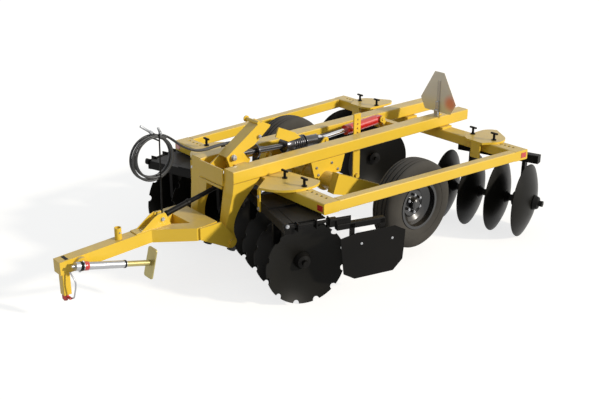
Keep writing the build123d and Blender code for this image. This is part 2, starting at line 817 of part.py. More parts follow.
# Tongue: a square tube that opens into an A frame with two ears on the pivot pins
arm_y = -1060
back_y = -980
cross_back = -860
a_top = 550
a_under = a_top - 106
tube_slope = atan2(tongue_rear[1] - tongue_front[1], tongue_rear[0] - tongue_front[0])
with BuildPart() as tongue:
    with BuildSketch(Plane.YZ.offset(-tongue_w / 2)):
        with BuildLine():
            drop = tongue_w / cos(tube_slope)
            Polyline(tongue_front, tongue_rear, (tongue_rear[0], tongue_rear[1] - drop),
                     (tongue_front[0], tongue_front[1] - drop), close=True)
        make_face()
    extrude(amount=tongue_w)
    with BuildSketch(Plane.XY.offset(a_under)):
        with BuildLine():
            Polyline(
                (-tongue_w / 2, tongue_rear[0]), (tongue_w / 2, tongue_rear[0]), (ear_x, arm_y),
                (ear_x, back_y), (ear_x - 16, cross_back), (-ear_x + 16, cross_back), (-ear_x, back_y),
                (-ear_x, arm_y), close=True)
        make_face()
        with BuildLine():
            Polyline((0, -1240), (125, -1040), (-125, -1040), close=True)
        make_face(mode=Mode.SUBTRACT)
    extrude(amount=a_top - a_under)
    with BuildSketch(Plane.YZ.offset(ear_x)):
        with BuildLine():
            ear = Polyline((pivot_y + 42, pivot_z + 22), (-840, a_top - 4), (back_y - 60, a_top - 4),
                           (back_y - 60, a_under + 6), (pivot_y - 25, pivot_z - 44))
            ThreePointArc(ear @ 1, (pivot_y + 34, pivot_z - 36), ear @ 0)
        make_face()
        with Locations((pivot_y, pivot_z)):
            Circle(pivot_pin_r + pin_gap, mode=Mode.SUBTRACT)
    extrude(amount=ear_t)
    mirror(about=Plane.YZ)
save(tongue, "tongue")

# Lugs on the A frame that hold the turnbuckle's pin
lug_top = 652
with BuildPart() as tongue_lugs:
    for x in (-34, 16):
        with BuildSketch(Plane.YZ.offset(x)):
            with BuildLine():
                Polyline((-1320, a_top), (-1262, lug_top), (-1205, lug_top), (-1180, a_top), close=True)
            make_face()
            with Locations(turnbuckle_pin):
                Circle(40)
        extrude(amount=18)
    with BuildSketch(Plane.YZ.offset(-40)):
        with Locations(turnbuckle_pin):
            Circle(link_pin_r)
    extrude(amount=80)
save(tongue_lugs, "tongue_lugs")

# Hitch post with the drawbar pin
hitch_y = -2058
hitch_bottom = 226
hitch_pin_r = 16
tube_drop = tongue_w / cos(tube_slope)
with BuildPart() as hitch_post:
    with BuildSketch(Plane.YZ.offset(-32)):
        with BuildLine():
            front, back = hitch_y - 31, hitch_y + 31
            under = tongue_front[1] - tube_drop
            slope = (tongue_rear[1] - tongue_front[1]) / (tongue_rear[0] - tongue_front[0])
            Polyline((front, under + slope * (front - tongue_front[0])),
                     (back, under + slope * (back - tongue_front[0])),
                     (back, hitch_bottom), (front, hitch_bottom), close=True)
        make_face()
    extrude(amount=64)
    fillet(hitch_post.edges().filter_by(Axis.Z), 6)
save(hitch_post, "hitch_post")

with BuildPart() as hitch_pin:
    with BuildSketch(Plane.XY.offset(hitch_bottom - 50)):
        with Locations((0, hitch_y - 8)):
            Circle(hitch_pin_r)
    extrude(amount=50)
save(hitch_pin, "hitch_pin")

# Jack, stowed along the tongue's left side: bracket, outer tube and inner tube with its foot
jack_dir = (cos(radians(jack_slope)), -sin(radians(jack_slope)))


def jack_point(distance):
    return (jack_head[0] + jack_dir[0] * distance, jack_head[1] + jack_dir[1] * distance)


jack_plane = Plane(origin=(jack_x, *jack_head), x_dir=(1, 0, 0), z_dir=(0, *jack_dir))
with BuildPart() as jack_bracket:
    with BuildSketch(Plane.YZ.offset(tongue_w / 2)):
        with Locations(jack_point(45)):
            Circle(52)
    extrude(amount=jack_x - 33.3 - tongue_w / 2)
save(jack_bracket, "jack_bracket")

with BuildPart() as jack_body:
    with BuildSketch(jack_plane):
        Circle(29)
        Circle(jack_leg_r + bearing_gap, mode=Mode.SUBTRACT)
    extrude(amount=jack_tube)
    with BuildSketch(jack_plane.offset(-34)):
        Circle(33)
    extrude(amount=34)
    with BuildSketch(jack_plane.offset(30)):
        Circle(33)
        Circle(28.5, mode=Mode.SUBTRACT)
    extrude(amount=40)
    with BuildSketch(jack_plane.offset(-60)):
        Circle(10)
    extrude(amount=30)
save(jack_body, "jack_body")

with BuildPart() as jack_leg:
    with BuildSketch(jack_plane.offset(jack_tube - jack_overlap)):
        Circle(jack_leg_r)
    extrude(amount=jack_reach - jack_tube + jack_overlap)
    with BuildSketch(jack_plane.offset(jack_reach)):
        Rectangle(118, 240)
    extrude(amount=8)
    fillet(jack_leg.edges().filter_by(lambda e: 7.9 < e.length < 8.1), 20)
save(jack_leg, "jack_leg")

# Sign with its bracket on the left main beam
sign_y = 1694
with BuildPart() as sign:
    with BuildSketch(Plane.XZ.offset(-sign_y)):
        with BuildLine():
            Polyline((beam_x - 57, 1345), (beam_x + 57, 1345), (beam_x + 215, 1072), (beam_x + 157, 968),
                     (beam_x - 157, 968), (beam_x - 215, 1072), close=True)
        make_face()
    extrude(amount=2)
save(sign, "warning_sign")

with BuildPart() as sign_bracket:
    with BuildSketch(Plane.XZ.offset(-sign_y - 6)):
        with Locations((beam_x, (beam_top + 1080) / 2)):
            Rectangle(50, 1080 - beam_top)
    extrude(amount=6)
    with Locations((beam_x, sign_y - 2 + 20, beam_top + 3)):
        Box(50, 28, 6)
save(sign_bracket, "sign_bracket")

# Hose rack on the tongue's lug: a rod with two pegs, and the coil of hoses that hangs on it
rack_x = 25
rack_y = -1225
rack_r = 8
peg_r = 6
coil_c = (-1262, 1096)
coil_r = 190
coil_in = 134
coil_t = 64
coil_x = rack_x - rack_r - coil_t / 2
with BuildPart() as hose_rack:
    with BuildSketch(Plane.XY.offset(lug_top)):
        with Locations((rack_x, rack_y)):
            Circle(rack_r)
    extrude(amount=1262 - lug_top)
    peg_z = coil_c[1] + sqrt((coil_in - peg_r) ** 2 - (rack_y - coil_c[0]) ** 2)
    with BuildSketch(Plane.YZ.offset(rack_x - 90)):
        with Locations((rack_y, peg_z)):
            Circle(peg_r)
    extrude(amount=90)
save(hose_rack, "hose_rack")

with BuildPart() as hose_coil:
    with BuildSketch(Plane.YZ.offset(coil_x - coil_t / 2)):
        with Locations(coil_c):
            Circle(coil_r)
            Circle(coil_in, mode=Mode.SUBTRACT)
    extrude(amount=coil_t)
save(hose_coil, "hose_coil")

# Two hoses from the coil, past the far side of the mast and along the beam to the anchor
hose_r = 8
hose_gap = 20
hose_points = [
    (-16, -1150, 1262), (-20, -1075, 1208), (-30, -965, 1110), (-50, -800, 1034), (-74, -600, 1044),
    (-88, -400, 1030), (-98, -240, 950), (-104, -60, 893), (-104, 180, 885),
]
hose_end = (-104, anchor_y - 30, 885)


def hose_path(points):
    """Radii of the arcs at the inner points: as large as the runs on either side allow."""
    places = [Vector(*point) for point in points]
    radii = []
    for a, b, c in zip(places, places[1:], places[2:]):
        turn = (b - a).get_angle(c - b)
        radii.append(0.45 * min((b - a).length, (c - b).length) / tan(radians(turn / 2)))
    return radii


hose_radii = hose_path(hose_points + [hose_end])
print("hose radii", [round(radius) for radius in hose_radii])
with BuildPart() as hoses:
    for shift in (0, -hose_gap):
        route = [(x + shift, y, z) for x, y, z in hose_points + [hose_end]]
        with BuildLine() as hose_line:
            FilletPolyline(*route, radius=hose_radii)
        with BuildSketch(Plane(origin=route[0], z_dir=hose_line.wires()[0] % 0)):
            Circle(hose_r)
        hose_wire = hose_line.wires()[0]
        sweep(path=hose_wire)
        print("hose length", round(hose_wire.length), "volume",
              round(hoses.part.volume), "section times length", round(pi * hose_r ** 2 * hose_wire.length))
save(hoses, "hoses")

# Red reflectors at the frame's corners
with BuildPart() as reflectors:
    with Locations((half_front - 45, front_y - 1.5, frame_top - 45)):
        Box(60, 3, 45)
    side_plane = Plane(origin=(half_rear, rear_y, frame_top - 45),
                       x_dir=(half_rear - half_front, rear_y - front_y, 0),
                       z_dir=(rear_y - front_y, half_front - half_rear, 0))
    with BuildSketch(side_plane):
        with Locations((-50, 0)):
            Rectangle(60, 45)
    extrude(amount=3)
    mirror(about=Plane.YZ)
save(reflectors, "reflectors")
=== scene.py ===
# %% [markdown]
# # A towed disc harrow
# A disc harrow cuts and turns soil with gangs of dished steel blades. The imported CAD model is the
# frame of this scene: it brings every tube, blade and wheel at its real place and size. This
# script gives each of them a finish, adds what is too fine for the CAD, and sets light and camera.
# The tables below are in millimetres, as in the part's source, because they are easier to read
# and to check there. The function `at` turns them into Blender's metres in one place.

# %% Load the frame
import bpy
import json
from math import cos, pi, radians, sin
from mathutils import Matrix, Vector


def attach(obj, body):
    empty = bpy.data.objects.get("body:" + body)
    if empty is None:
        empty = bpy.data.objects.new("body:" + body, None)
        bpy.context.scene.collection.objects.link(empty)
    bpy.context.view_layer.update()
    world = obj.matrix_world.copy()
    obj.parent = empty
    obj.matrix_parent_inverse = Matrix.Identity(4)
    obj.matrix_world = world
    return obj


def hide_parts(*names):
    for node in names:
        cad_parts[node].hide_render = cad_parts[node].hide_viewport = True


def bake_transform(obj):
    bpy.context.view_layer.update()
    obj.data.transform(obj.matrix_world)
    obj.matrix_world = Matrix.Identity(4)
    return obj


with open("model.json") as file:
    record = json.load(file)
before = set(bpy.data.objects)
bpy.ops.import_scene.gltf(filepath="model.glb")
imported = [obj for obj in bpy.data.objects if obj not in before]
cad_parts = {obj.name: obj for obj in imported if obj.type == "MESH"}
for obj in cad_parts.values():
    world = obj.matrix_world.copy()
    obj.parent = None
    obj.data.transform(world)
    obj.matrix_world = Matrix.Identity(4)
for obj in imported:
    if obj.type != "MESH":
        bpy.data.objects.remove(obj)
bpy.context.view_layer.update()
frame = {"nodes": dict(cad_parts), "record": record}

MM = 0.001
MIDDLE_Y = 17.667        # the part's lengths along Y are counted from here


def at(x, y, z):
    """A point given as the part's source gives it, in mm, as metres in the shared frame."""
    return Vector((x, y - MIDDLE_Y, z)) * MM


# %% [markdown]
# ## The camera
# It stands in front of the machine's left corner, a little above the mast, and looks back and down.
# A camera can be placed by eye, but its place, turn and lens were fitted to the straight tubes of
# the frame in the photograph, so that every other piece can be compared with it point by point.

# %% Camera
scene = bpy.context.scene
camera_data = bpy.data.cameras.new("camera")
camera_data.lens = 53.95
camera_data.sensor_width = 36
camera = bpy.data.objects.new("camera", camera_data)
camera.location = (5.585, -4.585, 3.299)
camera.rotation_euler = (radians(68.375), radians(-0.17), radians(49.63))
scene.collection.objects.link(camera)
scene.camera = camera
print("camera at", tuple(round(value, 3) for value in camera.location), "lens", camera_data.lens)

# %% [markdown]
# ## The sun
# The machine was photographed outdoors: its left faces are bright, the tops are pale and the
# fronts lie in shade. One sun lamp off the left rear gives all three at once, and the angle of
# five degrees makes the edges of its shadows soft. Area lamps would fall off along the machine.

# %% Sun
SUN_WAY = (-1.0, -0.55, -0.52)       # the way the light goes

scene.view_settings.view_transform = "Standard"
bpy.ops.object.light_add(type="SUN", location=(6, 2, 6))
sun = bpy.context.object
sun.name = "sun"
sun.data.energy = 3.45
sun.data.angle = radians(5)
sun.data.color = (1.0, 0.95, 0.86)
sun.rotation_euler = Vector(SUN_WAY).to_track_quat("-Z", "Y").to_euler()
print("sun of strength", round(sun.data.energy, 2))

# %% [markdown]
# ## Sky
# The sky fills the shade with a weak blue light, as open air does. The background has to be white,
# which a brighter sky could do, but that would wash out the paint. So the Light Path node tells
# rays apart: the camera, and whatever mirrors the background, see white, and the rest see the sky.


# %% Sky
WHITE = (1, 1, 1, 1)


def add(tree, kind, values=None):
    """A new node in a tree, with values for those of its inputs that are named."""
    node = tree.nodes.new(kind)
    for name, value in (values or {}).items():
        node.inputs[name].default_value = value
    return node


def split_rays(tree, output, lit, seen):
    """Shows one shader to rays that look at the background, and another to the ones that light."""
    path = add(tree, "ShaderNodeLightPath")
    looks = path.outputs["Is Camera Ray"]
    for ray in ("Is Glossy Ray", "Is Transmission Ray"):
        either = add(tree, "ShaderNodeMath")
        either.operation = "MAXIMUM"
        tree.links.new(looks, either.inputs[0])
        tree.links.new(path.outputs[ray], either.inputs[1])
        looks = either.outputs["Value"]
    mix = add(tree, "ShaderNodeMixShader")
    tree.links.new(looks, mix.inputs["Fac"])
    tree.links.new(lit, mix.inputs[1])
    tree.links.new(seen, mix.inputs[2])
    tree.links.new(mix.outputs["Shader"], output.inputs["Surface"])


world = bpy.data.worlds.new("sky")
scene.world = world
world.use_nodes = True
tree = world.node_tree
tree.nodes.clear()
output = add(tree, "ShaderNodeOutputWorld")
sky = add(tree, "ShaderNodeBackground", {"Color": (0.80, 0.88, 1.0, 1), "Strength": 0.52})
white = add(tree, "ShaderNodeBackground", {"Color": WHITE, "Strength": 1.0})
split_rays(tree, output, sky.outputs["Background"], white.outputs["Background"])
print("sky of strength", round(sky.inputs["Strength"].default_value, 2))

# %% [markdown]
# ## Ground
# A plane far larger than the machine has no edge in any view. Its matt colour throws a little warm
# light back up at the undersides, as dry ground does. To the camera a glow is added to that same
# matt colour: in the sun both make white, and where the machine keeps the sun off, a pale shadow.

# %% Ground
bpy.ops.mesh.primitive_plane_add(size=40, location=(0, 0, 0))
ground = bpy.context.object
ground.name = "ground"
ground_material = bpy.data.materials.new("ground")
ground_material.use_nodes = True
tree = ground_material.node_tree
tree.nodes.clear()
output = add(tree, "ShaderNodeOutputMaterial")
matt = add(tree, "ShaderNodeBsdfDiffuse", {"Color": (0.36, 0.34, 0.30, 1)})
glow = add(tree, "ShaderNodeEmission", {"Color": WHITE, "Strength": 0.76})
pale = add(tree, "ShaderNodeAddShader")
tree.links.new(glow.outputs["Emission"], pale.inputs[0])
tree.links.new(matt.outputs["BSDF"], pale.inputs[1])
split_rays(tree, output, matt.outputs["BSDF"], pale.outputs["Shader"])
ground.data.materials.append(ground_material)
print("ground", tuple(round(value, 1) for value in ground.dimensions))

# %% [markdown]
# ## How a finish is made
# Paint, rubber and steel on a farm machine are never one flat colour. The paint's tone drifts, fine
# grain breaks up its gloss, and dust settles where a face looks up. All three could be painted on
# an image, but noise nodes need no image and stay sharp close up, so one function builds every
# finish from them. The dust is driven by the face's own normal, so it lies on tops only.


# %% One function for all finishes
DUST_FROM, DUST_FULL = 0.15, 0.95    # how far a face looks up where dust starts and is full
DENT_DEPTH = 0.002


def blend(tree, factor, first, second):
    """Mixes two colours, each a tuple or a socket, and gives the socket of the result."""
    node = add(tree, "ShaderNodeMix")
    node.data_type = "RGBA"
    tree.links.new(factor, node.inputs["Factor"])
    for value, socket in ((first, node.inputs[6]), (second, node.inputs[7])):
        if isinstance(value, tuple):
            socket.default_value = (*value, 1)
        else:
            tree.links.new(value, socket)
    return node.outputs[2]


def dusted(tree, color, dust, dust_color, patches):
    """Lays dust over a colour where a face looks up, thicker in some patches than in others."""
    geometry = add(tree, "ShaderNodeNewGeometry")
    parts = add(tree, "ShaderNodeSeparateXYZ")
    tree.links.new(geometry.outputs["Normal"], parts.inputs["Vector"])
    up = add(tree, "ShaderNodeMapRange",
             {"From Min": DUST_FROM, "From Max": DUST_FULL, "To Max": dust})
    tree.links.new(parts.outputs["Z"], up.inputs["Value"])
    film = add(tree, "ShaderNodeMapRange", {"From Min": 0.25, "From Max": 0.75, "To Min": 0.55})
    tree.links.new(patches, film.inputs["Value"])
    amount = add(tree, "ShaderNodeMath")
    amount.operation = "MULTIPLY"
    tree.links.new(up.outputs["Result"], amount.inputs[0])
    tree.links.new(film.outputs["Result"], amount.inputs[1])
    return blend(tree, amount.outputs["Value"], color, dust_color)


def finish(name, base, other, roughness, metallic=0.0, dust=0.0, dust_color=(0.42, 0.34, 0.22),
           grain=260.0, bump=0.06, coat=0.0, streak=3.0, specular=0.5):
    """A material: base and other are the ends of its colour, dust is its share on level tops."""
    material = bpy.data.materials.new(name)
    material.use_nodes = True
    tree = material.node_tree
    shader = tree.nodes["Principled BSDF"]
    place = add(tree, "ShaderNodeTexCoord")

    def noise(scale, detail):
        node = add(tree, "ShaderNodeTexNoise", {"Scale": scale, "Detail": detail})
        tree.links.new(place.outputs["Object"], node.inputs["Vector"])
        return node.outputs["Fac"]

    slow = noise(streak, 6.0)
    color = blend(tree, slow, base, other)
    if dust > 0:
        color = dusted(tree, color, dust, dust_color, noise(11.0, 8.0))
    tree.links.new(color, shader.inputs["Base Color"])
    gloss = add(tree, "ShaderNodeMapRange",
                {"To Min": max(0.02, roughness - 0.09), "To Max": roughness + 0.12})
    tree.links.new(slow, gloss.inputs["Value"])
    tree.links.new(gloss.outputs["Result"], shader.inputs["Roughness"])
    dents = add(tree, "ShaderNodeBump", {"Strength": bump, "Distance": DENT_DEPTH})
    tree.links.new(noise(grain, 4.0), dents.inputs["Height"])
    tree.links.new(dents.outputs["Normal"], shader.inputs["Normal"])
    shader.inputs["Metallic"].default_value = metallic
    shader.inputs["Specular IOR Level"].default_value = specular
    shader.inputs["Coat Weight"].default_value = coat
    shader.inputs["Coat Roughness"].default_value = 0.12
    return material


# %% [markdown]
# ## The finishes of this machine
# The frame is sprayed a warm yellow, and blades, gangs and rims are black. Dust gives black paint a
# brown cast outdoors, so its second colour and its dust are a little warm. Tyres are rough and
# brown, and only the cylinder's rod is bright chrome. A table keeps the numbers side by side, which
# makes it easy to set one finish against another while looking at the photograph.

# %% The table of finishes
table = {
    "yellow_paint": dict(base=(0.80, 0.53, 0.045), other=(0.72, 0.46, 0.035), roughness=0.36,
                         dust=0.75, dust_color=(0.39, 0.29, 0.13), specular=0.35, coat=0.15),
    "black_paint": dict(base=(0.004, 0.004, 0.004), other=(0.008, 0.007, 0.006), roughness=0.42,
                        dust=0.06, dust_color=(0.06, 0.055, 0.045), specular=0.1),
    "blade_black": dict(base=(0.004, 0.004, 0.0035), other=(0.009, 0.008, 0.006), roughness=0.36,
                        dust=0.06, dust_color=(0.08, 0.075, 0.065), specular=0.1, streak=6.0),
    "tyre_rubber": dict(base=(0.034, 0.031, 0.027), other=(0.070, 0.064, 0.055), roughness=0.85,
                        dust=0.3, dust_color=(0.12, 0.108, 0.09), specular=0.2, grain=120.0,
                        bump=0.25, streak=9.0),
    "rim_black": dict(base=(0.006, 0.006, 0.007), other=(0.012, 0.012, 0.012), roughness=0.22,
                      dust=0.1, coat=0.5),
    "link_metal": dict(base=(0.035, 0.036, 0.04), other=(0.13, 0.13, 0.14), roughness=0.22,
                       metallic=0.75, dust=0.1),
    "red_paint": dict(base=(0.55, 0.012, 0.012), other=(0.46, 0.01, 0.01), roughness=0.3,
                      dust=0.15, coat=0.4),
    "rod_chrome": dict(base=(0.75, 0.75, 0.76), other=(0.62, 0.62, 0.63), roughness=0.1,
                       metallic=1.0, bump=0.0),
    "bare_aluminium": dict(base=(0.62, 0.57, 0.48), other=(0.46, 0.42, 0.35), roughness=0.5,
                           metallic=0.35, grain=60.0),
    "hose_rubber": dict(base=(0.012, 0.012, 0.013), other=(0.03, 0.03, 0.03), roughness=0.45,
                        dust=0.15, dust_color=(0.12, 0.115, 0.10)),
    "reflector_red": dict(base=(0.62, 0.02, 0.01), other=(0.5, 0.015, 0.01), roughness=0.2,
                          coat=0.8, grain=500.0, bump=0.3),
    "zinc": dict(base=(0.50, 0.51, 0.53), other=(0.34, 0.35, 0.37), roughness=0.34,
                 metallic=0.85, streak=14.0),
}
finishes = {name: finish(name, **values) for name, values in table.items()}
print("finishes:", ", ".join(finishes))

# %% [markdown]
# ## Finishing the CAD nodes
# The record says which finish each node takes, so a loop can hand them out. The hangers are an
# exception: they are welded to the frame and sprayed with it, so they become yellow. The leg of
# the jack is zinc plated with a yellow cast, which is a finish of its own.

# %% Finish the nodes
slots = {part["node"]: part["material_slot"] for part in frame["record"]["subparts"]}
for node, piece in frame["nodes"].items():
    if not piece.material_slots:
        piece.data.materials.append(finishes[slots[node]])
    for slot in piece.material_slots:
        slot.link = "OBJECT"
        slot.material = finishes[slots[node]]
for name in ("front_hangers", "rear_hangers"):
    for slot in frame["nodes"][name].material_slots:
        slot.material = finishes["yellow_paint"]
leg_finish = finish("yellow_zinc", (0.50, 0.43, 0.17), (0.36, 0.31, 0.13), 0.36, metallic=0.6,
                    streak=12.0)
for slot in frame["nodes"]["jack_leg"].material_slots:
    slot.material = leg_finish
print("finished", len(slots), "nodes in", len(set(slots.values())), "finishes")


# %% [markdown]
# ## Owning a piece
# Every new piece ends in the same way: its place is applied, so that the object sits unturned at
# the origin with its place in its mesh, it gets one finish, and it rides on the body of the
# machine that carries it. Parenting by hand would do that too, but a function forgets nothing.


# %% Own and join
def select_only(piece):
    """Selects one piece and nothing else, as the operators need it."""
    bpy.ops.object.select_all(action="DESELECT")
    piece.select_set(True)
    bpy.context.view_layer.objects.active = piece


def own(piece, name, body, slot):
    """Names a new piece, gives it its finish and puts it on its body."""
    piece.name = name
    piece.data.name = name
    select_only(piece)
    bpy.ops.object.transform_apply(location=True, rotation=True, scale=True)
    piece.data.materials.clear()
    piece.data.materials.append(finishes[slot])
    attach(piece, body)
    print("made", name, "of", len(piece.data.polygons), "faces, on", body)
    return piece


def join(pieces):
    """One object from several."""
    select_only(pieces[0])
    for piece in pieces:
        piece.select_set(True)
    bpy.ops.object.join()
    return bpy.context.object


# %% [markdown]
# ## Bars, bolts and blocks
# Most of what is bolted to this frame is a turned bar, a hexagon head on a washer or a sawn block.
# Each starts as a primitive at its real size, and a bevel takes the sharpness off its edges,
# because no real edge is perfectly sharp and the bevel is what catches the light.


# %% Rod, bolt and box
SHARP = radians(50)          # a bevel takes only edges that turn by more than this
SMOOTH = radians(40)         # and faces that turn by less than this are shaded as one


def modify(piece, kind, **settings):
    """Gives the selected piece a modifier and applies it at once."""
    modifier = piece.modifiers.new("shape", kind)
    for name, value in settings.items():
        setattr(modifier, name, value)
    bpy.ops.object.modifier_apply(modifier="shape")


def rod(start, axis, radius, length, sides=24, bevel=0.0):
    """A round or many-sided bar that starts at a point and runs along an axis, in mm."""
    axis = Vector(axis).normalized()
    bpy.ops.object.select_all(action="DESELECT")
    bpy.ops.mesh.primitive_cylinder_add(vertices=sides, radius=radius * MM, depth=length * MM)
    bar = bpy.context.object
    bar.location = start + axis * length * MM / 2
    bar.rotation_euler = axis.to_track_quat("Z", "Y").to_euler()
    bpy.ops.object.transform_apply(location=True, rotation=True, scale=True)
    if bevel:
        modify(bar, "BEVEL", width=bevel * MM, segments=2, limit_method="ANGLE", angle_limit=SHARP)
    if sides > 8:
        bpy.ops.object.shade_smooth_by_angle(angle=SMOOTH)
    return bar


def bolt(start, axis, radius):
    """A washer and a hexagon head, in mm."""
    axis = Vector(axis).normalized()
    washer = rod(start, axis, radius * 1.25, 3, 20)
    head = rod(start + axis * 3 * MM, axis, radius, radius * 0.75, 6, bevel=1.2)
    return join([washer, head])


def bolts(name, body, slot, rows):
    """Bolt heads from a table of (point, axis, radius)."""
    return own(join([bolt(point, axis, radius) for point, axis, radius in rows]), name, body, slot)


def box(center, size, bevel=2.0):
    """A block with rounded edges, in mm."""
    bpy.ops.object.select_all(action="DESELECT")
    bpy.ops.mesh.primitive_cube_add(size=1)
    block = bpy.context.object
    block.scale = [value * MM for value in size]
    block.location = center
    bpy.ops.object.transform_apply(location=True, rotation=True, scale=True)
    modify(block, "BEVEL", width=bevel * MM, segments=2)
    return block


# %% [markdown]
# ## Tyres
# An implement tyre is not driven, so it has plain ribs round its tread and no lugs. It could be cut
# out of a torus, but a tyre is a turned shape: its section is drawn once, from bead to bead, and
# a screw modifier turns it about the wheel's axle. The mesh is first moved so that the axle runs
# through the origin, because that is where the modifier turns it.

# %% Tyres
WHEEL = (817, 733, 480)
half_section = [      # (distance from the tyre's middle, radius), from the middle rib to the bead
    (0, 386), (17, 386), (20, 376), (28, 376), (31, 385), (52, 383), (55, 373), (63, 373),
    (66, 381), (84, 376), (98, 362), (109, 344), (118, 318), (120, 300), (118, 275), (114, 262),
    (112, 262), (108, 244), (101, 226), (92, 214), (89, 206), (89, 192),
]
section = [(-x, r) for x, r in reversed(half_section[1:])] + half_section
hub = at(*WHEEL)
for side, name in ((1, "left"), (-1, "right")):
    mesh = bpy.data.meshes.new(f"{name}_ribbed_tyre")
    points = [at(side * WHEEL[0] + x, WHEEL[1], WHEEL[2] + r) for x, r in section]
    mesh.from_pydata(points, [(i, i + 1) for i in range(len(points) - 1)], [])
    tyre = bpy.data.objects.new(f"{name}_ribbed_tyre", mesh)
    scene.collection.objects.link(tyre)
    select_only(tyre)
    tyre.data.transform(Matrix.Translation((0, -hub.y, -hub.z)))
    modify(tyre, "SCREW", axis="X", steps=96, render_steps=96, use_merge_vertices=True,
           merge_threshold=0.0001)
    tyre.data.transform(Matrix.Translation((0, hub.y, hub.z)))
    bpy.ops.object.mode_set(mode="EDIT")
    bpy.ops.mesh.select_all(action="SELECT")
    bpy.ops.mesh.normals_make_consistent(inside=False)
    bpy.ops.object.mode_set(mode="OBJECT")
    bpy.ops.object.shade_smooth_by_angle(angle=radians(35))
    own(tyre, f"{name}_ribbed_tyre", f"wheel_{name}", "tyre_rubber")
    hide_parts(f"{name}_tyre")

# %% [markdown]
# ## The way of a hose
# Two hydraulic hoses leave the cylinder's anchor, run forward beside the right main beam and past
# the mast, and go twice round the rack on the tongue. Such a hose is stiff, so it keeps to wide
# bends. A simulation would have to be tamed into those turns, so the way is a list of points
# instead: the run is typed, as the part has it, and a loop works out the turns, each a little
# tighter than the one before it and weaving sideways, so that the hose passes itself.


# %% Hose routes
COIL_Y, COIL_Z = -1262, 1096         # the middle of the turns
COIL_TURNS = 2
COIL_R, COIL_TIGHTENS = 188, 34      # the first turn's radius, and how much of it is lost
COIL_CREEPS = 14                     # how far the middle moves back and up on the way
COIL_WEAVES = 8
FIRST_ANGLE = 48                     # where the first turn starts, in degrees
STEPS_A_TURN = 12

run = [
    (-104, 1195, 885), (-104, 180, 885), (-104, -60, 893), (-98, -240, 950), (-88, -400, 1030),
    (-74, -600, 1044), (-50, -800, 1034), (-30, -965, 1110), (-20, -1075, 1208), (-16, -1150, 1262),
]


def hose_route(shift, coil_x, last_angle, tail):
    """The points of one hose, in mm, from the anchor to the end of its tail."""
    points = [(x + shift, y, z) for x, y, z in run[:-1]]
    points.append(((coil_x + run[-1][0] + shift) / 2, run[-1][1], run[-1][2] - 6))
    whole_turn = COIL_TURNS * 360 + last_angle - FIRST_ANGLE
    steps = COIL_TURNS * STEPS_A_TURN
    for step in range(steps + 1):
        share = step / steps
        angle = radians(FIRST_ANGLE + whole_turn * share)
        radius = COIL_R - COIL_TIGHTENS * share
        points.append((coil_x - COIL_WEAVES * sin(pi * COIL_TURNS * share),
                       COIL_Y + COIL_CREEPS * share + radius * cos(angle),
                       COIL_Z - 6 + COIL_CREEPS * share + radius * sin(angle)))
    return points + [(coil_x - 4, y, z) for y, z in tail]


print("a hose has", len(hose_route(0, 8, 48, ())), "points before its tail")

# %% [markdown]
# ## Hoses and their fittings
# A curve led by those points is read out while it is still a line, and the way of its last stretch
# sets the fitting. Then it gets its round section and closed ends, and becomes a mesh. A plated nut
# and barrel end each hose, as it never ends cut off.


# %% Hoses
HOSE_R = 9


def curve_through(name, points, resolution):
    """A smooth curve led by points that are in metres."""
    curve = bpy.data.curves.new(name, "CURVE")
    curve.dimensions = "3D"
    spline = curve.splines.new("NURBS")
    spline.points.add(len(points) - 1)
    for point, place in zip(spline.points, points):
        point.co = (*place, 1)
    spline.order_u = 3
    spline.use_endpoint_u = True
    spline.resolution_u = resolution
    bent = bpy.data.objects.new(name, curve)
    scene.collection.objects.link(bent)
    return bent


def thicken(bent, radius, roundness):
    """Gives a curve a round section and closed ends, and makes it a mesh."""
    bent.data.bevel_depth = radius * MM
    bent.data.bevel_resolution = roundness
    bent.data.use_fill_caps = True
    select_only(bent)
    bpy.ops.object.convert(target="MESH")
    return bpy.context.object


for name, shift, coil_x, last_angle, tail, reach in (
        ("left", 0, 8, 48, ((-1215, 1262), (-1272, 1305)), 96),
        ("right", -20, -26, 28, ((-1150, 1225), (-1168, 1272)), 40)):
    route = [at(*place) for place in hose_route(shift, coil_x, last_angle, tail)]
    hose = curve_through(f"{name}_hose", route, 6)
    bpy.context.view_layer.update()
    shaped = hose.evaluated_get(bpy.context.evaluated_depsgraph_get())
    places = [vertex.co.copy() for vertex in bpy.data.meshes.new_from_object(shaped).vertices]
    hose = thicken(hose, HOSE_R, 3)
    hose.data.materials.clear()
    hose.data.materials.append(finishes["hose_rubber"])
    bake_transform(hose)
    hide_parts("hoses", "hose_coil")
    along = (places[-1] - places[-2]).normalized()
    nut = rod(places[-1] - along * 0.018, along, 14, 26, 6, bevel=1.5)
    barrel = rod(places[-1] + along * 0.006, along, 10, reach, 24, bevel=1.5)
    fitting = own(join([nut, barrel]), f"{name}_hose_fitting", "drawbar", "zinc")

# %% [markdown]
# ## Places on a gang
# The blade gangs stand at 17 degrees to the frame, and left and right mirror each other. Typing
# every place in the frame's own axes would hide what belongs together, so the places on a gang are
# given as someone with a tape would take them: along its shaft, towards the rear, and up.


# %% Gang places
GANG_ANGLE = radians(17)
BLADE_R = 330
PITCH = 254
HALF_GANG = 1.5 * PITCH

gangs = {}
for gang, end_x, end_y, slant in (("front", 928, -532, -1), ("rear", 1178, 1826, 1)):
    middle = Vector((end_x - HALF_GANG * cos(GANG_ANGLE),
                     end_y - slant * HALF_GANG * sin(GANG_ANGLE), BLADE_R))
    gangs[gang] = middle, (cos(GANG_ANGLE), slant * sin(GANG_ANGLE))


def gang_out(gang, side):
    """The way a gang's shaft points, outwards."""
    x, y = gangs[gang][1]
    return Vector((side * x, y, 0))


